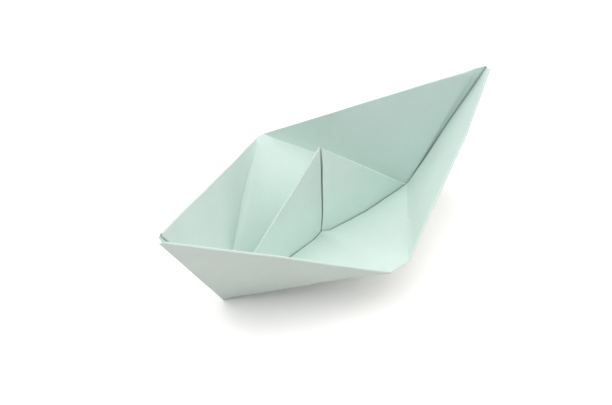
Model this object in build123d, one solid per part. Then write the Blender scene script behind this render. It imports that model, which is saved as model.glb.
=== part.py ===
from build123d import *
from math import cos, pi, radians, sin, sqrt
import os

import numpy

# Classic folded paper boat, made of one sheet of tinted paper. Sizes are in millimetres.
# +X runs from the stern to the bow, -Y is the near side, +Z is up.
# The origin lies on the table, under the middle of the keel.
# The sheet is followed layer by layer: each point below lies in the middle of one layer.

# The sheet before folding: its width, and the strip turned up along each long edge.
sheet_width = 200.0
brim_width = 50.0
paper_thickness = 0.16
air_gap = 0.08

# How far the boat is opened. Both flap angles are counted from the upright sail.
near_flap_angle = 67.2
far_flap_angle = 50.2
base_opening = 1.0
near_foot_width = 9.0
far_foot_width = 3.6

# Soft corners: each rim is blunt in its middle, and both tips sag and swing to the near side (a minus
# value is the far side). The sail leans to the far side at its peak.
near_corner_width = 10.8
far_corner_width = 4.1
bow_tip_sag = 6.1
bow_tip_swing = 2.0
stern_tip_sag = 1.8
stern_tip_swing = -2.1
sail_lean = 1.1
# Each keel corner lies this much beyond the end of the sail's fold, where the paper turns.
keel_spread = 1.6

# Each rim swells out from its tip to a knee, and bends again at a hip, where its tucked corner ends.
bow_knee_reach = 33.0
bow_hip_reach = 49.0
stern_knee_reach = 24.0
stern_hip_reach = 47.0
near_bow_belly = 2.8
near_bow_hip = 2.1
near_stern_belly = 1.3
near_stern_hip = 0.4
far_bow_belly = 0.7
far_bow_hip = 0.5
far_stern_belly = 0.6
far_stern_hip = 0.0
# The near tips stand off the far ones: back towards the keel (a minus value is ahead), out to the
# near side, and lower.
bow_tip_step = -0.3
bow_tip_gape = 1.6
bow_tip_drop = 0.0
stern_tip_step = -0.8
stern_tip_gape = 0.0
stern_tip_drop = 3.0

# The two folded edges that meet on the near face of the sail leave a slit, wider at its top.
slit_width = 0.8
slit_top_width = 1.4

# The brims: strips turned up inside the rims, with their corners tucked under at bow and stern.
# The near raw edge stands a little off the sail, and highest in its middle.
brim_end_gap = 4.2
near_strip_width = 1.2
far_bow_strip_width = 5.6
far_stern_strip_width = 2.6
# Past the far brim's ends the far layer bends in towards the tips, by this much at the rim.
far_bow_strip_dip = 1.2
far_stern_strip_dip = 0.4
near_edge_gap = 0.6
near_edge_lift = 1.8
near_shoulder_lift = 4.0
near_middle_lift = 6.2
far_edge_gap = 0.5
far_edge_lift = 0.8
shoulder_reach = 4.0
tuck_inset = 1.0
near_tuck_height = 0.3
far_tuck_height = 0.6
fold_steps = 4

# The folds at a keel corner draw back this much for each layer inside the outermost.
corner_draw = 0.8
# The bottom is pressed flat on the table by this much.
table_press = 0.05

# Values that follow from the sheet.
half_width = sheet_width / 2
flap_length = half_width / 2
diagonal = half_width / sqrt(2)
layer_pitch = paper_thickness + air_gap
keel_level = paper_thickness / 2 - table_press

UP = Vector(0, 0, 1)
NEAR = Vector(0, -1, 0)
FAR = Vector(0, 1, 0)
FORWARD = {"bow": Vector(1, 0, 0), "stern": Vector(-1, 0, 0)}
END_NAMES = ("keel", "middle", "hip", "knee", "rim", "tip")


def toward(start, end, distance):
    """The point at a distance from start, on the straight way to end."""
    return start + (end - start).normalized() * distance


def rim_middle(angle, outward):
    """Middle of one rim. The flap is as long as the sail is high, and turns about the keel."""
    turn = radians(angle)
    return outward * (flap_length * sin(turn)) + UP * (keel_level + flap_length * cos(turn))


def tip_point(end, sag, swing):
    """Bow or stern tip: half_width from both rim middles, and one diagonal from its keel corner."""
    near_middle = rim_middle(near_flap_angle, NEAR)
    far_middle = rim_middle(far_flap_angle, FAR)
    middle = (near_middle + far_middle) / 2
    span = far_middle - near_middle
    rise = span.cross(FORWARD["stern"]).normalized()
    reach_squared = half_width**2 - span.length**2 / 4
    lift = middle - UP * keel_level
    slope = lift.dot(rise) / flap_length
    level = (reach_squared + flap_length**2 + lift.dot(lift) - diagonal**2) / (2 * flap_length)
    bend = 1 + slope**2
    height = (sqrt((level * slope) ** 2 - bend * (level**2 - reach_squared)) - level * slope) / bend
    return middle + rise * height + FORWARD[end] * (level + slope * height) + NEAR * swing - UP * sag


def hull_points(outward, angle, corner_width, foot_width, rims):
    """Corners of the main layer on one side: half the sail, the foot on the table and the hull."""
    seat = outward * (layer_pitch / 2)
    middle = rim_middle(angle, outward)
    base = UP * keel_level + outward * (base_opening / 2) + seat
    points = {
        "peak": UP * (keel_level + flap_length) + FAR * sail_lean + seat,
        "base": base,
        "foot": base + outward * foot_width,
        "centre": middle,
    }
    tips = {
        "bow": tip_point("bow", bow_tip_sag, bow_tip_swing),
        "stern": tip_point("stern", stern_tip_sag, stern_tip_swing),
    }
    reaches = {
        "bow": (bow_knee_reach, bow_hip_reach),
        "stern": (stern_knee_reach, stern_hip_reach),
    }
    for end, (knee_swell, hip_swell, strip_width, strip_dip) in zip(FORWARD, rims):
        tip = tips[end] + seat
        keel = FORWARD[end] * (flap_length + keel_spread) + UP * keel_level + seat
        side = middle + FORWARD[end] * (corner_width / 2)
        away = (side - keel).cross(tip - keel).normalized()
        away *= 1 if away.dot(outward) > 0 else -1
        knee_reach, hip_reach = reaches[end]
        knee = toward(tip, side, knee_reach) + away * knee_swell
        points[end, "keel"] = keel
        points[end, "middle"] = side
        points[end, "hip"] = toward(tip, side, hip_reach) + away * hip_swell
        points[end, "knee"] = knee
        points[end, "rim"] = toward(tip, knee, strip_width) + away * strip_dip
        points[end, "tip"] = tip
    return points


def half_facets(end):
    """Facets of the main layer from the centre line to one end."""
    keel, middle, hip, knee, rim, tip = ((end, name) for name in END_NAMES)
    return [
        ("peak", keel, "base"),
        ("base", "foot", keel),
        ("foot", keel, middle),
        ("foot", middle, "centre"),
        (hip, keel, middle),
        (knee, keel, hip),
        (rim, keel, knee),
        (tip, keel, rim),
    ]


def same_way_round(facets):
    """The facets with their corners listed the same way round as their neighbours'."""
    waiting = list(facets)
    done = [waiting.pop(0)]
    sides = set(zip(done[0], done[0][1:] + done[0][:1]))
    while waiting:
        for facet in waiting:
            ways = list(zip(facet, facet[1:] + facet[:1]))
            if any((b, a) in sides for a, b in ways):
                chosen = facet
            elif any(way in sides for way in ways):
                chosen = facet[::-1]
            else:
                continue
            waiting.remove(facet)
            done.append(chosen)
            sides |= set(zip(chosen, chosen[1:] + chosen[:1]))
            break
    return done


def surface_ways(points, facets):
    """For each point, the way that leads one unit off all the facets around it."""
    normals = {}
    for facet in facets:
        a, b, c = (points[name] for name in facet)
        normal = tuple((b - a).cross(c - a).normalized())
        for name in facet:
            normals.setdefault(name, []).append(normal)
    return {
        name: Vector(*numpy.linalg.lstsq(numpy.array(rows), numpy.ones(len(rows)), rcond=0.2)[0])
        for name, rows in normals.items()
    }


def cockpit_ways(points):
    """The way from the main layer into the cockpit, at each of its points."""
    ways = surface_ways(points, same_way_round(half_facets("bow") + half_facets("stern")))
    sign = 1 if ways["foot"].Z > 0 else -1
    return {name: way * sign for name, way in ways.items()}


def shared_tips(near, far, ways):
    """The far layer turns over into the upper flap along the bow and stern: both end in one tip."""
    for end in FORWARD:
        way = ways[end, "tip"]
        rim = (far[end, "rim"] - far[end, "tip"]).normalized()
        step = 2 * layer_pitch - way.dot(far[end, "tip"] - near[end, "tip"])
        far[end, "tip"] += rim * (step / way.dot(rim))


def drawn_back(points):
    """The near main layer, drawn back inside the far layer's fold at the sail's ridge and the tips."""
    moved = dict(points)
    moved["peak"] = points["peak"] - UP * (layer_pitch * sqrt(2))
    offsets = {
        "bow": (bow_tip_step, bow_tip_gape, bow_tip_drop),
        "stern": (stern_tip_step, stern_tip_gape, stern_tip_drop),
    }
    for end, (step, gape, drop) in offsets.items():
        moved[end, "keel"] = points[end, "keel"] - FORWARD[end] * (layer_pitch * corner_draw)
        inner = toward(points[end, "tip"], points[end, "knee"], layer_pitch * sqrt(2))
        back = toward(inner, points[end, "keel"], step)
        moved[end, "tip"] = back + NEAR * gape - UP * drop
        moved[end, "rim"] = toward(moved[end, "tip"], points[end, "knee"], near_strip_width)
    return moved


def flap_points(points, ways, end, level):
    """One corner flap of the sheet, laid on the near main layer up to the centre line."""
    shift = FORWARD[end] * (slit_width / 2)
    keel = (end, "keel")
    half = {name: points[name] + shift for name in ("base", "foot", "centre")}
    half["peak"] = toward(points["peak"], points[keel], slit_top_width * sqrt(2) / 2)
    half |= {(end, name): points[end, name] for name in END_NAMES}
    return {name: point + ways[name] * (level * layer_pitch) for name, point in half.items()}


class Sheet:
    """All corners and facets of the folded sheet, layer after layer."""

    def __init__(self):
        self.points = {}
        self.facets = []

    def add_layer(self, layer, points, facets, shared=None):
        """A new layer. Corners in shared are those of another layer."""
        keys = {name: (layer, name) for name in points} | (shared or {})
        self.points |= {keys[name]: point for name, point in points.items()}
        self.facets += [tuple(keys[name] for name in facet) for facet in facets]

    def join(self, first, second):
        """A fold between two rows of corners that lie side by side."""
        for a, b, c, d in zip(first, first[1:], second[1:], second):
            self.facets += [(a, b, c), (a, c, d)]

    def add_fold(self, first_keys, first, second_keys, second, out):
        """A round fold between two rows of corners. It swells out by half the way across."""
        previous = list(first_keys.values())
        for step in range(1, fold_steps):
            turn = pi * step / fold_steps
            row = [(key, step) for key in first_keys.values()]
            for key, name in zip(row, first_keys):
                across = (second[name] - first[name]) / 2
                swell = out[name] * across.length
                self.points[key] = first[name] + across - across * cos(turn) + swell * sin(turn)
            self.join(previous, row)
            previous = row
        self.join(previous, list(second_keys.values()))

    def solid(self):
        """All layers and folds as one closed solid, half the paper's thickness to each side."""
        facets = same_way_round(self.facets)
        ways = surface_ways(self.points, facets)
        half = paper_thickness / 2
        top = {name: self.points[name] + way * half for name, way in ways.items()}
        bottom = {name: self.points[name] - way * half for name, way in ways.items()}
        outlines = [[top[name] for name in facet] for facet in facets]
        outlines += [[bottom[name] for name in facet[::-1]] for facet in facets]
        sides = {way for facet in facets for way in zip(facet, facet[1:] + facet[:1])}
        for a, b in sorted(sides, key=str):
            if (b, a) not in sides:
                outlines += [[top[b], top[a], bottom[a]], [top[b], bottom[a], bottom[b]]]
        return Solid(Shell([Face(Wire.make_polygon(outline, close=True)) for outline in outlines]))


def add_brim(sheet, side, hull, ways, outward, level, tuck_height, lifts):
    """One brim: the fold over the rim, the strip inside it and the corners tucked under."""
    edge_gap, edge_lift, shoulder_lift, middle_lift = lifts
    brim = f"{side} brim"
    tuck = f"{side} tuck"
    over = level * layer_pitch
    raw = toward(hull["centre"], hull["base"], brim_width) + outward * (over + edge_gap)
    points = {"centre": hull["centre"] + ways["centre"] * over, "edge": raw + UP * middle_lift}
    facets = []
    out = {"centre": (hull["centre"] - hull["base"]).normalized()}
    for end, forward in FORWARD.items():
        keel, middle, hip, knee, rim, _ = (hull[end, name] for name in END_NAMES)
        inward = ways[end, "rim"].normalized()
        low = toward(hip, keel, brim_width - brim_end_gap)
        tucks = {
            "rim": rim + inward * over,
            "keel": low + inward * over,
            "knee": knee + ways[end, "knee"] * over,
            "corner": toward(hip, keel, tuck_inset) + ways[end, "hip"] * over,
        }
        points[end, "rim"] = tucks["rim"] + inward * tuck_height
        points[end, "keel"] = tucks["keel"] + inward * tuck_height
        points[end, "knee"] = tucks["knee"] + ways[end, "knee"] * ((tuck_height + layer_pitch) / 2)
        points[end, "hip"] = hip + ways[end, "hip"] * (over + layer_pitch)
        points[end, "middle"] = middle + ways[end, "middle"] * over
        points[end, "edge"] = raw + forward * (flap_length / 2) + UP * edge_lift
        points[end, "shoulder"] = raw + forward * shoulder_reach + UP * shoulder_lift
        for name in ("rim", "knee", "hip"):
            out[end, name] = ((rim + middle) / 2 - keel).normalized()
        out[end, "middle"] = (out[end, "rim"] + out["centre"]).normalized()
        facets += [
            ((end, "rim"), (end, "keel"), (end, "knee")),
            ((end, "knee"), (end, "keel"), (end, "hip")),
            ((end, "hip"), (end, "keel"), (end, "middle")),
            ((end, "keel"), (end, "edge"), (end, "middle")),
            ((end, "edge"), (end, "shoulder"), (end, "middle")),
            ((end, "shoulder"), "edge", (end, "middle")),
            ("edge", "centre", (end, "middle")),
        ]
        under = {name: points[end, name] for name in ("rim", "keel")}
        aside = (under["rim"] - under["keel"]).cross(inward).normalized()
        aside *= -1 if aside.dot(hip - low) > 0 else 1
        sheet.add_layer((end, tuck), tucks, [("rim", "keel", "knee"), ("knee", "keel", "corner")])
        sheet.add_fold(
            {name: (brim, (end, name)) for name in under},
            under,
            {name: ((end, tuck), name) for name in under},
            tucks,
            {name: aside for name in under},
        )
    sheet.add_layer(brim, points, facets)
    half_row = ("rim", "knee", "hip", "middle")
    rim_row = [("bow", name) for name in half_row]
    rim_row += ["centre"] + [("stern", name) for name in reversed(half_row)]
    sheet.add_fold(
        {name: (f"{side} hull", name) for name in rim_row},
        hull,
        {name: (brim, name) for name in rim_row},
        points,
        out,
    )


def folded_sheet():
    """The whole sheet, folded and opened, before it is made flat where it rests on the table."""
    near_rims = (
        (near_bow_belly, near_bow_hip, near_strip_width, 0),
        (near_stern_belly, near_stern_hip, near_strip_width, 0),
    )
    far_rims = (
        (far_bow_belly, far_bow_hip, far_bow_strip_width, far_bow_strip_dip),
        (far_stern_belly, far_stern_hip, far_stern_strip_width, far_stern_strip_dip),
    )
    near_ends = hull_points(NEAR, near_flap_angle, near_corner_width, near_foot_width, near_rims)
    far = hull_points(FAR, far_flap_angle, far_corner_width, far_foot_width, far_rims)
    near = drawn_back(near_ends)
    near_ways = cockpit_ways(near_ends)
    shared_tips(near_ends, far, near_ways)
    far_ways = cockpit_ways(far)
    both = half_facets("bow") + half_facets("stern")
    sheet = Sheet()
    sheet.add_layer("near hull", near, both)
    sheet.add_layer("far hull", far, both)
    for end in FORWARD:
        lower, upper = f"{end} lower flap", f"{end} upper flap"
        sheet.add_layer(lower, flap_points(near, near_ways, end, 1), half_facets(end))
        tip = ("far hull", (end, "tip"))
        keel = (end, "keel")
        flap = flap_points(near | {name: near_ends[name] for name in ("peak", keel)}, near_ways, end, 2)
        flap[end, "tip"] = far[end, "tip"]
        sheet.add_layer(upper, flap, half_facets(end), {(end, "tip"): tip})
        ridge = ["peak", keel, (end, "tip")]
        sheet.join([("near hull", name) for name in ridge], [(lower, name) for name in ridge])
        sheet.join([("far hull", "peak"), ("far hull", keel)], [(upper, "peak"), (upper, keel)])
        sheet.facets.append((("far hull", keel), tip, (upper, keel)))
        slit = ["peak", "base", "foot", "centre"]
        sheet.join([(lower, name) for name in slit], [(upper, name) for name in slit])
    near_lifts = (near_edge_gap, near_edge_lift, near_shoulder_lift, near_middle_lift)
    far_lifts = (far_edge_gap, far_edge_lift, far_edge_lift, far_edge_lift)
    add_brim(sheet, "near", near, near_ways, NEAR, 3, near_tuck_height, near_lifts)
    add_brim(sheet, "far", far, far_ways, FAR, 1, far_tuck_height, far_lifts)
    return sheet.solid()


boat = split(folded_sheet(), bisect_by=Plane.XY, keep=Keep.TOP)
os.makedirs("parts", exist_ok=True)
export_step(boat, "parts/folded_sheet.step")
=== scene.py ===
import math

import bmesh
import bpy
import numpy
from bpy.props import FloatProperty, FloatVectorProperty, PointerProperty
from bpy.types import Operator, Panel, PropertyGroup
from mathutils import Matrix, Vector, noise


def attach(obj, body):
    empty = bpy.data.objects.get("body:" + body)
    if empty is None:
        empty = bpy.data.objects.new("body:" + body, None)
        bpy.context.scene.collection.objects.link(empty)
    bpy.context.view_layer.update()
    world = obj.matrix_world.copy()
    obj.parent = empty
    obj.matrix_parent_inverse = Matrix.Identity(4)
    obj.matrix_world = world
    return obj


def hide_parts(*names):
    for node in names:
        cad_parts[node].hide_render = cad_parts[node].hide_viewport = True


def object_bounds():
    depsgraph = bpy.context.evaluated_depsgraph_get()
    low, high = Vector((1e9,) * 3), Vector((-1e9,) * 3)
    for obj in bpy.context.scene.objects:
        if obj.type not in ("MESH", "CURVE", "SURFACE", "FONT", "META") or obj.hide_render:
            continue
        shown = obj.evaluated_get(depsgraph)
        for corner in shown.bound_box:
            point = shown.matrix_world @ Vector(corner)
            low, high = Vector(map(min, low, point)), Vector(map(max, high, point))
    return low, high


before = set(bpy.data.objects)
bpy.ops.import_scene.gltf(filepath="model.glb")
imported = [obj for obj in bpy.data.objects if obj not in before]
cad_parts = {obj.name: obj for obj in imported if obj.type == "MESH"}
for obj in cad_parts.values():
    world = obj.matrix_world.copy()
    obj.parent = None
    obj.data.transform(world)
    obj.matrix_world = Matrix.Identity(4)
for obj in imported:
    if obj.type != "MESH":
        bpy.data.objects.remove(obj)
cad_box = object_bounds()

bl_info = {
    "name": "Folded Paper Boat",
    "version": (1, 0, 0),
    "blender": (4, 5, 0),
    "location": "View3D > Sidebar > Paper Boat",
    "description": "Dresses the folded boat in soft paper and sets up its table, light and camera",
    "category": "Object",
}


class PaperSettings(PropertyGroup):
    """The sheet that the boat is folded from."""

    tint: FloatVectorProperty(
        name="Tint",
        description="Colour of the dyed paper",
        subtype="COLOR",
        size=3,
        min=0.0,
        max=1.0,
        default=(0.692, 0.815, 0.765),
    )
    patch_size: FloatProperty(
        name="Patch Size",
        description="Longest side of the small patches that let the paper bend",
        subtype="DISTANCE",
        unit="LENGTH",
        default=0.0036,
    )
    crease_width: FloatProperty(
        name="Crease Width",
        description="How far the round of a hull crease reaches to each side",
        subtype="DISTANCE",
        unit="LENGTH",
        default=0.0045,
    )
    crease_depth: FloatProperty(
        name="Crease Depth",
        description="How much a hull crease is filled at its deepest",
        subtype="DISTANCE",
        unit="LENGTH",
        default=0.0006,
    )
    groove_width: FloatProperty(
        name="Groove Width",
        description="Width of the groove along the bow's fold",
        subtype="DISTANCE",
        unit="LENGTH",
        default=0.0009,
    )
    groove_depth: FloatProperty(
        name="Groove Depth",
        description="Depth of the groove along the bow's fold",
        subtype="DISTANCE",
        unit="LENGTH",
        default=0.0018,
    )
    slit_reach: FloatProperty(
        name="Slit Reach",
        description="How far from the sail's slit the paper starts to lift",
        subtype="DISTANCE",
        unit="LENGTH",
        default=0.007,
    )
    slit_lift: FloatProperty(
        name="Slit Lift",
        description="How far the edges of the slit stand off the sail",
        subtype="DISTANCE",
        unit="LENGTH",
        default=0.0009,
    )
    dent_width: FloatProperty(
        name="Dent Width",
        description="Width of the dented wedge beside the far stern crease",
        subtype="DISTANCE",
        unit="LENGTH",
        default=0.006,
    )
    dent_steepness: FloatProperty(
        name="Dent Steepness",
        description="How far that wedge is bent back, as a share of its width",
        default=0.72,
    )
    rim_draw: FloatProperty(
        name="Rim Draw",
        description="How far the near rim is drawn in on the bow side",
        subtype="DISTANCE",
        unit="LENGTH",
        default=0.0005,
    )
    strip_width: FloatProperty(
        name="Strip Width",
        description="Width of the strip beside the bow's fold, at the rim",
        subtype="DISTANCE",
        unit="LENGTH",
        default=0.0052,
    )
    strip_lift: FloatProperty(
        name="Strip Lift",
        description="How far the strip's free side is turned up",
        subtype="DISTANCE",
        unit="LENGTH",
        default=0.0015,
    )
    ridge_height: FloatProperty(
        name="Ridge Height",
        description="Height of the faint ridges left by earlier folds",
        subtype="DISTANCE",
        unit="LENGTH",
        default=0.0003,
    )
    ridge_width: FloatProperty(
        name="Ridge Width",
        description="How far such a ridge reaches to each side",
        subtype="DISTANCE",
        unit="LENGTH",
        default=0.004,
    )
    wave_height: FloatProperty(
        name="Wave Height",
        description="How far the paper strays from flat",
        subtype="DISTANCE",
        unit="LENGTH",
        default=0.00035,
    )
    wave_length: FloatProperty(
        name="Wave Length",
        description="Distance between two waves of the paper",
        subtype="DISTANCE",
        unit="LENGTH",
        default=0.028,
    )


class StageSettings(PropertyGroup):
    """The table, the light and the camera."""

    table_width: FloatProperty(
        name="Table Width",
        description="Side of the square table top",
        subtype="DISTANCE",
        unit="LENGTH",
        default=1.6,
    )
    light_power: FloatProperty(
        name="Light Power",
        description="Power of all lamps together, in watts",
        default=16.5,
    )
    camera_azimuth: FloatProperty(
        name="Camera Azimuth",
        description="Direction that the camera looks in, from +Y towards -X",
        subtype="ANGLE",
        unit="ROTATION",
        default=math.radians(-41.28),
    )
    camera_elevation: FloatProperty(
        name="Camera Elevation",
        description="How steeply the camera looks down",
        subtype="ANGLE",
        unit="ROTATION",
        default=math.radians(43.07),
    )
    camera_place: FloatVectorProperty(
        name="Camera Place",
        description="Where the camera stands",
        subtype="XYZ",
        unit="LENGTH",
        size=3,
        default=(-0.23969, -0.26408, 0.35468),
    )
    camera_lens: FloatProperty(
        name="Lens",
        description="Focal length in millimetres",
        default=70.6,
    )


def new_material(name):
    """An empty node material with its output."""
    material = bpy.data.materials.new(name)
    material.use_nodes = True
    nodes = material.node_tree.nodes
    nodes.clear()
    output = nodes.new("ShaderNodeOutputMaterial")
    return material, nodes, material.node_tree.links, output


def noise_pattern(nodes, links, place, scale, detail):
    """A noise pattern on the object's own coordinates."""
    pattern = nodes.new("ShaderNodeTexNoise")
    pattern.inputs["Scale"].default_value = scale
    pattern.inputs["Detail"].default_value = detail
    links.new(place.outputs["Object"], pattern.inputs["Vector"])
    return pattern


def tinted_paper(settings):
    """Dyed paper: a matt sheet with fine fibres, faint clouds in the dye and a soft tooth."""
    material, nodes, links, output = new_material("tinted_paper")
    place = nodes.new("ShaderNodeTexCoord")
    surface = nodes.new("ShaderNodeBsdfPrincipled")
    surface.inputs["Roughness"].default_value = 0.82
    surface.inputs["Specular IOR Level"].default_value = 0.25
    clouds = noise_pattern(nodes, links, place, 60.0, 3.0)
    fibres = noise_pattern(nodes, links, place, 1400.0, 4.0)
    dye = nodes.new("ShaderNodeValToRGB")
    tint = Vector(settings.tint)
    deep_share, pale_share = 0.965, 1.03
    deep, pale = dye.color_ramp.elements
    deep.position = 0.3
    deep.color = (*(tint * deep_share), 1.0)
    pale.position = 0.7
    pale.color = (*(tint * pale_share), 1.0)
    both = nodes.new("ShaderNodeMix")
    both.inputs["Factor"].default_value = 0.45
    links.new(clouds.outputs["Fac"], both.inputs["A"])
    links.new(fibres.outputs["Fac"], both.inputs["B"])
    links.new(both.outputs["Result"], dye.inputs["Fac"])
    links.new(dye.outputs["Color"], surface.inputs["Base Color"])
    tooth = nodes.new("ShaderNodeBump")
    tooth.inputs["Strength"].default_value = 0.18
    tooth.inputs["Distance"].default_value = 0.00005
    links.new(fibres.outputs["Fac"], tooth.inputs["Height"])
    links.new(tooth.outputs["Normal"], surface.inputs["Normal"])
    links.new(surface.outputs["BSDF"], output.inputs["Surface"])
    return material


def seen_directly(nodes, links):
    """One for rays from the camera, also by way of glass or a mirror, and zero otherwise."""
    path = nodes.new("ShaderNodeLightPath")
    seen = nodes.new("ShaderNodeMath")
    seen.operation = "MAXIMUM"
    through = nodes.new("ShaderNodeMath")
    through.operation = "MAXIMUM"
    links.new(path.outputs["Is Camera Ray"], seen.inputs[0])
    links.new(path.outputs["Is Glossy Ray"], seen.inputs[1])
    links.new(seen.outputs[0], through.inputs[0])
    links.new(path.outputs["Is Transmission Ray"], through.inputs[1])
    return through.outputs[0]


def join_looks(nodes, links, lighting, seen, output):
    """One shader for the light in the scene, and another for what the camera sees."""
    mix = nodes.new("ShaderNodeMixShader")
    links.new(seen_directly(nodes, links), mix.inputs["Fac"])
    links.new(lighting, mix.inputs[1])
    links.new(seen, mix.inputs[2])
    links.new(mix.outputs["Shader"], output.inputs["Surface"])


def table_top():
    """A plain white top. Seen straight on it is paper white, and it keeps the boat's shadow."""
    material, nodes, links, output = new_material("white_table")
    plain = nodes.new("ShaderNodeBsdfDiffuse")
    plain.inputs["Color"].default_value = (0.86, 0.79, 0.77, 1.0)
    white = nodes.new("ShaderNodeBsdfDiffuse")
    white.inputs["Color"].default_value = (1.22, 1.18, 1.18, 1.0)
    join_looks(nodes, links, plain.outputs["BSDF"], white.outputs["BSDF"], output)
    return material


def studio_air():
    """Even light from all round, and a white background where the camera sees past the table."""
    world = bpy.data.worlds.new("studio_air")
    world.use_nodes = True
    nodes = world.node_tree.nodes
    links = world.node_tree.links
    nodes.clear()
    output = nodes.new("ShaderNodeOutputWorld")
    room = nodes.new("ShaderNodeBackground")
    room.inputs["Color"].default_value = (1.0, 1.0, 1.0, 1.0)
    room.inputs["Strength"].default_value = 0.22
    white = nodes.new("ShaderNodeBackground")
    white.inputs["Color"].default_value = (1.0, 1.0, 1.0, 1.0)
    white.inputs["Strength"].default_value = 1.0
    join_looks(nodes, links, room.outputs["Background"], white.outputs["Background"], output)
    bpy.context.scene.world = world


# Each lamp's place, its share of the light, and how warm it is. A minus value is cool.
LAMPS = {
    "overhead": ((0.0, 0.0, 1.0), 0.34, 0.0),
    "left": ((-0.6, 0.53, 0.6), 0.14, 0.0),
    "right": ((0.6, -0.53, 0.6), 0.28, 0.02),
    "back_left": ((-0.1, 0.85, 0.55), 0.2, 0.0),
    "front": ((-0.53, -0.6, 0.6), 0.06, -0.12),
}


def soft_lamp(name, place, power, warmth):
    """A square lamp one metre wide that looks at the boat."""
    light = bpy.data.lights.new(name, "AREA")
    light.shape = "SQUARE"
    light.size = 1.0
    light.energy = power
    light.color = (1.0 + warmth, 1.0, 1.0 - warmth)
    lamp = bpy.data.objects.new(name, light)
    lamp.location = place
    middle_height = 0.02
    aim = Vector((0.0, 0.0, middle_height)) - Vector(place)
    lamp.rotation_euler = aim.to_track_quat("-Z", "Y").to_euler()
    bpy.context.scene.collection.objects.link(lamp)


# Merging distances: for the loose triangles of the solid, and for slivers left by cuts. A corner
# nearer to a cutting plane than the last one counts as on it.
WELD = 0.000002
SLIVER = 0.00001
ON_PLANE = 0.00002
# Facets that meet at more than this keep a hard edge between them.
SHARP_FOLD = math.radians(14.0)
# On each side, where the bottom starts at the foot of the sail, in the middle of the boat.
FEET = {"near": Vector((0.0, -0.009, 0.0)), "far": Vector((0.0, 0.004, 0.0))}
# A place well inside the boat, above its bottom.
INSIDE = Vector((0.0, 0.0, 0.05))
# The sail's near face: its height and half width, how far back it lies at foot and peak.
SAIL_HEIGHT = 0.0497
SAIL_HALF_WIDTH = 0.0514
SAIL_FOOT_Y = -0.00062
SAIL_LEAN = 0.0016
# The far brim's width beside the bow's fold, where it ends at the rim.
BRIM_END_REACH = 0.0056


def line_places(line, places):
    """How far along a line each place lies, as a share of it, and how far off the line it lies."""
    start, end = (numpy.array(corner) for corner in line)
    run = end - start
    along = numpy.clip((places - start) @ run / (run @ run), 0.0, 1.0)
    return along, numpy.linalg.norm(places - start - along[:, None] * run, axis=1)


def divide_long_edges(bm, longest, lines=(), reach=0.0, rounds=8):
    """Halves long edges again and again. With lines given, only those within reach of one."""
    for _ in range(rounds):
        edges = [edge for edge in bm.edges if edge.calc_length() > longest]
        if lines and edges:
            middles = numpy.array([(edge.verts[0].co + edge.verts[1].co) / 2 for edge in edges])
            lengths = numpy.array([edge.calc_length() for edge in edges])
            aside = numpy.min([line_places(line, middles)[1] for line in lines], axis=0)
            edges = [edge for edge, near in zip(edges, aside < reach + lengths / 2) if near]
        if not edges:
            break
        bmesh.ops.subdivide_edges(bm, edges=edges, cuts=1)
        bmesh.ops.triangulate(bm, faces=[face for face in bm.faces if len(face.verts) > 3])


def cut_beside(bm, line, normal, reach):
    """Cuts the faces around a line along it, so that a narrow press has edges to follow."""
    middles = numpy.array([face.calc_center_median() for face in bm.faces])
    aside = line_places(line, middles)[1]
    geometry = [face for face, near in zip(bm.faces, aside < reach) if near]
    chosen = set(geometry)
    geometry += [edge for edge in bm.edges if not chosen.isdisjoint(edge.link_faces)]
    geometry += [vert for vert in bm.verts if not chosen.isdisjoint(vert.link_faces)]
    bmesh.ops.bisect_plane(bm, geom=geometry, dist=ON_PLANE, plane_co=line[0], plane_no=normal)
    bmesh.ops.triangulate(bm, faces=[face for face in bm.faces if len(face.verts) > 3])


def corner_places(bm):
    """The corners of the hull, found on the sheet itself: keel corners, rim corners and tips."""
    low, high = cad_box
    keel_band, rim_band = 0.0004, 0.0012
    rows = {
        "keel": [vert.co for vert in bm.verts if vert.co.z < keel_band],
        "near": [vert.co for vert in bm.verts if vert.co.y < low[1] + rim_band],
        "far": [vert.co for vert in bm.verts if vert.co.y > high[1] - rim_band],
    }
    places = {}
    for name, row in rows.items():
        places[name, "bow"] = max(row, key=lambda place: place.x).copy()
        places[name, "stern"] = min(row, key=lambda place: place.x).copy()
    row = [vert.co for vert in bm.verts]
    for end, sign in (("bow", 1), ("stern", -1)):
        places["tip", end] = max(row, key=lambda place: sign * place.x + place.y + place.z).copy()
    return places


def inner_way(line, sides):
    """The way halfway between the two faces that meet in a line, towards the inside of the boat."""
    start, end = line
    way = Vector()
    for corner in sides:
        normal = (end - start).cross(corner - start).normalized()
        way += normal if normal.dot(INSIDE - start) > 0 else -normal
    return way.normalized()


def side_way(line, wall, corner):
    """The way off a line that stays within its wall and leads towards one of the wall's corners."""
    way = (line[1] - line[0]).cross(wall).normalized()
    return way if way.dot(corner - line[0]) > 0 else -way


def press_line(places, line, shift, width, tapers=(0.1, 0.1), power=2.0):
    """Presses the paper along a line, deepest on it. All layers at one place move together."""
    along, aside = line_places(line, places)
    share = numpy.clip(1.0 - aside / width, 0.0, 1.0) ** power
    taper = numpy.clip(numpy.minimum(along / tapers[0], (1.0 - along) / tapers[1]), 0.0, 1.0)
    places += (share * taper)[:, None] * numpy.array(shift)


def round_hull_creases(places, corners, settings):
    """The hull's folds between its bottom and its ends are round, not sharp."""
    for side, end in (("near", "bow"), ("near", "stern"), ("far", "bow")):
        line = (corners[side, end], corners["keel", end])
        way = inner_way(line, (FEET[side], corners["tip", end]))
        press_line(places, line, way * settings.crease_depth, settings.crease_width)


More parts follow.
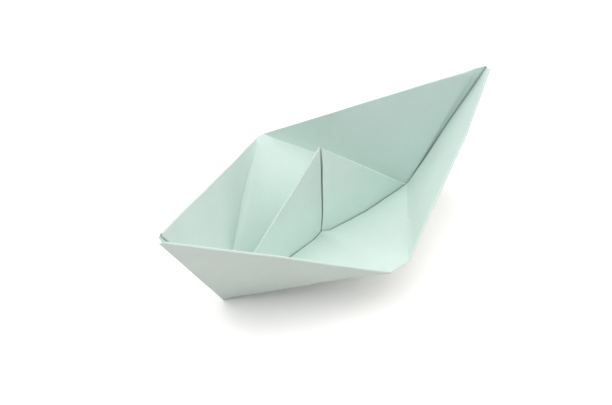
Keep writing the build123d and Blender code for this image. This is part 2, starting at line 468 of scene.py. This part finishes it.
def dent_far_stern(places, corners, settings):
    """The wall is bent back in a wedge beside the far stern crease, which is round at its top."""
    line = (corners["far", "stern"], corners["keel", "stern"])
    wall = inner_way(line, (corners["tip", "stern"],))
    across = side_way(line, wall, corners["tip", "stern"])
    along, aside = line_places(line, places)
    on_wall = (places - numpy.array(line[0])) @ numpy.array(across) > 0
    never_zero = 1.001
    wedge = settings.dent_width * (never_zero - along)
    bottom_share = 0.3
    share = numpy.clip(1.0 - aside / (wedge * numpy.where(on_wall, 1.0, bottom_share)), 0.0, 1.0)
    start, rise, fall = 0.14, 0.26, 0.1
    taper = numpy.clip(numpy.minimum((along - start) / rise, (1.0 - along) / fall), 0.0, 1.0)
    depth = share * taper * wedge * settings.dent_steepness
    places -= depth[:, None] * numpy.array(wall)
    round_share = 0.7
    round_part = (line[0], line[0] + (line[1] - line[0]) * round_share)
    shift = inner_way(line, (FEET["far"], corners["tip", "stern"])) * (settings.crease_depth * 2.0)
    press_line(places, round_part, shift, settings.crease_width * 2.0, tapers=(0.05, 0.6))


def draw_in_near_bow(places, corners, settings):
    """Between its middle corner and its hip, the near rim is drawn in towards the bow's well."""
    start, tip = corners["near", "bow"], corners["tip", "bow"]
    hip_share, reach = 0.45, 0.02
    line = (start, start + (tip - start) * hip_share)
    way = inner_way((start, tip), (corners["keel", "bow"],))
    press_line(places, line, way * settings.rim_draw, reach, tapers=(0.5, 0.5), power=1.0)


def nip_bow_fold(places, corners, settings):
    """The bow's fold was nipped hard: a narrow dark groove runs between the two walls."""
    line = (corners["keel", "bow"], corners["tip", "bow"])
    way = inner_way(line, (corners["near", "bow"], corners["far", "bow"]))
    shift = -way * settings.groove_depth
    press_line(places, line, shift, settings.groove_width * 0.9, tapers=(0.03, 0.01), power=1.0)


def brim_end_line(corners):
    """Where the far brim ends at the bow, from the rim down to the keel corner."""
    tip, keel = corners["tip", "bow"], corners["keel", "bow"]
    rim = tip + (corners["far", "bow"] - tip).normalized() * BRIM_END_REACH
    hidden_share = 0.06
    return rim, keel + (rim - keel) * hidden_share


def mark_brim_end(places, corners):
    """The end of the far brim shows through as a fine step in the wall."""
    line = brim_end_line(corners)
    step_height, step_width = 0.00012, 0.001
    step = inner_way(line, (corners["far", "bow"],)) * step_height
    press_line(places, line, step, step_width, tapers=(0.01, 0.3), power=1.0)


def level_bow_strip(places, corners, settings):
    """Below the rim, the strip from the far brim's end to the bow's fold faces up a little more."""
    line = (corners["keel", "bow"], corners["tip", "bow"])
    wall = inner_way(line, (corners["far", "bow"],))
    across = side_way(line, wall, corners["far", "bow"])
    along = line_places(line, places)[0]
    offset = (places - numpy.array(line[0])) @ numpy.array(across)
    height = (places - numpy.array(line[0])) @ numpy.array(wall)
    all_layers, leeway, fade, tip_fall = 0.0004, 0.3, 4.0, 0.12
    width = all_layers + settings.strip_width * along
    share = numpy.where(offset < width, offset / width, 1.0 - (offset - width) / (fade * width))
    on_wall = (numpy.abs(height) < all_layers + leeway * offset) & (offset > 0.0)
    taper = numpy.clip(numpy.minimum(along, (1.0 - along) / tip_fall), 0.0, 1.0)
    shift = settings.strip_lift * numpy.clip(share, 0.0, 1.0) * taper * on_wall
    places += shift[:, None] * numpy.array(wall)


def old_creases(places, corners, settings):
    """Faint ridges of earlier folds: from the sail's feet to the rims, and one at the bow."""
    wide = settings.ridge_width
    up = Vector((0.0, 0.0, settings.ridge_height))
    near_foot = Vector((-0.002, -0.006, 0.003))
    hip_share, hip_reach = 0.505, 0.45
    far_line = (corners["far", "bow"], FEET["far"])
    press_line(places, far_line, up * 1.5, wide, tapers=(0.03, 0.7))
    near_middle = (corners["near", "bow"] + corners["near", "stern"]) / 2
    near_line = (near_middle, near_foot)
    press_line(places, near_line, up, wide, tapers=(0.05, 0.6))
    hip = corners["tip", "bow"] + (corners["far", "bow"] - corners["tip", "bow"]) * hip_share
    way = inner_way((hip, corners["keel", "bow"]), (corners["tip", "bow"],))
    hip_line = (hip, hip + (corners["keel", "bow"] - hip) * hip_reach)
    press_line(places, hip_line, way * settings.ridge_height, wide, tapers=(0.02, 0.8))


def lift_slit_edges(places, settings):
    """The two folded edges in the middle of the sail's near face stand off it a little."""
    x, y, z = places.T
    ridge = SAIL_HEIGHT * (1.0 - numpy.abs(x) / SAIL_HALF_WIDTH)
    off = y - (SAIL_FOOT_Y + SAIL_LEAN * z / SAIL_HEIGHT)
    inner_off, outer_off = -0.00013, -0.0012
    flap = (off < inner_off) & (off > outer_off)
    share = numpy.clip(1.0 - numpy.abs(x) / settings.slit_reach, 0.0, 1.0) ** 2
    foot, fade = 0.007, 0.008
    taper = numpy.clip(numpy.minimum((ridge - z) / fade, (z - foot) / fade), 0.0, 1.0)
    places[:, 1] -= settings.slit_lift * share * taper * flap


# Three far-off places in the noise, one for each direction of the drift.
DRIFT_STARTS = ((0.3, 0.1, 0.7), (17.4, 4.6, 9.2), (-8.6, 21.3, 3.4))


def drift(spot):
    """A smooth drift in three directions, the same at each run."""
    return Vector(noise.noise(spot + Vector(start)) for start in DRIFT_STARTS)


def wave_paper(places, settings):
    """The paper strays from flat a little, by the same way for all layers at one place."""
    low, high = cad_box
    tip_calm, table_calm = 0.02, 0.006
    small_length, small_height = 0.4, 0.25
    for place in places:
        spot = Vector(place)
        shift = drift(spot / settings.wave_length) * settings.wave_height
        small = drift(spot / (settings.wave_length * small_length))
        shift += small * (settings.wave_height * small_height)
        calm = min(1.0, max(0.0, min(spot.x - low[0], high[0] - spot.x) / tip_calm))
        place += numpy.array(shift) * (calm * min(1.0, max(0.0, spot.z / table_calm)))


def soften_bottom(bm):
    """The near brim stands off the bottom in soft swells, without sharp bends."""
    half_length, outer_y, inner_y = 0.027, -0.040, -0.0024
    lowest, slope_start, slope = 0.0009, -0.0095, 0.53
    swells = [
        vert
        for vert in bm.verts
        if abs(vert.co.x) < half_length
        and outer_y < vert.co.y < inner_y
        and vert.co.z > lowest + max(0.0, slope_start - vert.co.y) * slope
    ]
    axes = {"use_axis_x": True, "use_axis_y": True, "use_axis_z": True}
    rounds = 14
    for _ in range(rounds):
        bmesh.ops.smooth_vert(bm, verts=swells, factor=0.5, **axes)


def divide_sheet(bm, corners, settings):
    """Cuts the large facets into small patches, finer along the folds that are worked on."""
    fold_reach, brim_reach, brim_gap = 0.006, 0.02, 0.001
    fold = (corners["keel", "bow"], corners["tip", "bow"])
    fold_way = inner_way(fold, (corners["near", "bow"], corners["far", "bow"]))
    across = fold_way.cross(fold[1] - fold[0]).normalized()
    for offset in (settings.groove_width / 2, -settings.groove_width / 2):
        beside = (fold[0] + across * offset, fold[1] + across * offset)
        cut_beside(bm, beside, across, fold_reach)
    brim_end = brim_end_line(corners)
    wall = inner_way(brim_end, (corners["far", "bow"],))
    sideways = wall.cross(brim_end[1] - brim_end[0]).normalized()
    for offset in (-brim_gap, 0.0, brim_gap):
        beside = (brim_end[0] + sideways * offset, brim_end[1] + sideways * offset)
        cut_beside(bm, beside, sideways, brim_reach)
    bmesh.ops.dissolve_degenerate(bm, edges=bm.edges, dist=SLIVER)
    divide_long_edges(bm, settings.patch_size)
    lines = [
        (corners[side, end], corners["keel", end])
        for side in ("near", "far")
        for end in ("bow", "stern")
    ]
    slit = (Vector((0.0, 0.0, 0.002)), Vector((0.0, 0.0015, 0.05)))
    ridge = (corners["far", "bow"], Vector((0.001, 0.02, 0.015)))
    lines += [slit, ridge, fold, brim_end]
    divide_long_edges(bm, settings.patch_size / 2, lines, settings.crease_width)


def press_details(places, corners, settings):
    """All that bends the paper away from its flat facets, in order."""
    round_hull_creases(places, corners, settings)
    dent_far_stern(places, corners, settings)
    draw_in_near_bow(places, corners, settings)
    nip_bow_fold(places, corners, settings)
    level_bow_strip(places, corners, settings)
    mark_brim_end(places, corners)
    old_creases(places, corners, settings)
    lift_slit_edges(places, settings)
    wave_paper(places, settings)


class BOAT_OT_folded_sheet(Operator):
    """Lay soft paper over the folded sheet"""

    bl_idname = "boat.folded_sheet"
    bl_label = "Folded Sheet"

    def execute(self, context):
        settings = context.scene.boat_paper
        bm = bmesh.new()
        bm.from_mesh(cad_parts["folded_sheet"].data)
        bmesh.ops.remove_doubles(bm, verts=bm.verts, dist=WELD)
        bmesh.ops.dissolve_degenerate(bm, edges=bm.edges, dist=WELD)
        corners = corner_places(bm)
        divide_sheet(bm, corners, settings)
        soften_bottom(bm)
        places = numpy.array([vert.co for vert in bm.verts])
        press_details(places, corners, settings)
        for vert, place in zip(bm.verts, places):
            vert.co = place
        for edge in bm.edges:
            edge.smooth = edge.is_manifold and edge.calc_face_angle(0.0) < SHARP_FOLD
        for face in bm.faces:
            face.smooth = True
        mesh = bpy.data.meshes.new("soft_paper")
        bm.to_mesh(mesh)
        bm.free()
        piece = bpy.data.objects.new("soft_paper", mesh)
        context.scene.collection.objects.link(piece)
        mesh.materials.append(tinted_paper(settings))
        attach(piece, "root")
        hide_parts("folded_sheet")
        return {"FINISHED"}


class BOAT_OT_stage(Operator):
    """Set up the table, the lamps and the camera"""

    bl_idname = "boat.stage"
    bl_label = "Stage"

    def execute(self, context):
        settings = context.scene.boat_stage
        bm = bmesh.new()
        bmesh.ops.create_grid(bm, x_segments=1, y_segments=1, size=settings.table_width / 2)
        mesh = bpy.data.meshes.new("table")
        bm.to_mesh(mesh)
        bm.free()
        table = bpy.data.objects.new("table", mesh)
        context.scene.collection.objects.link(table)
        mesh.materials.append(table_top())
        studio_air()
        for name, (place, power, warmth) in LAMPS.items():
            soft_lamp(name, place, power * settings.light_power, warmth)
        camera = bpy.data.cameras.new("camera")
        camera.lens = settings.camera_lens
        camera.sensor_width = 36.0
        camera.clip_start = 0.01
        eye = bpy.data.objects.new("camera", camera)
        eye.location = settings.camera_place
        eye.rotation_euler = (math.pi / 2 - settings.camera_elevation, 0.0, settings.camera_azimuth)
        context.scene.collection.objects.link(eye)
        context.scene.camera = eye
        context.scene.view_settings.view_transform = "Standard"
        return {"FINISHED"}


class BOAT_PT_panel(Panel):
    """Sizes and colours of the boat, and the steps that make it"""

    bl_label = "Paper Boat"
    bl_space_type = "VIEW_3D"
    bl_region_type = "UI"
    bl_category = "Paper Boat"

    def draw(self, context):
        layout = self.layout
        for group in (context.scene.boat_paper, context.scene.boat_stage):
            box = layout.box()
            for name in group.__annotations__:
                box.prop(group, name)
        for operator in (BOAT_OT_folded_sheet, BOAT_OT_stage):
            layout.operator(operator.bl_idname)


CLASSES = (PaperSettings, StageSettings, BOAT_OT_folded_sheet, BOAT_OT_stage, BOAT_PT_panel)


def register():
    for cls in CLASSES:
        bpy.utils.register_class(cls)
    bpy.types.Scene.boat_paper = PointerProperty(type=PaperSettings)
    bpy.types.Scene.boat_stage = PointerProperty(type=StageSettings)


def unregister():
    del bpy.types.Scene.boat_stage
    del bpy.types.Scene.boat_paper
    for cls in reversed(CLASSES):
        bpy.utils.unregister_class(cls)


def main():
    register()
    bpy.ops.boat.stage()
    bpy.ops.boat.folded_sheet()


if __name__ == "__main__":
    main()
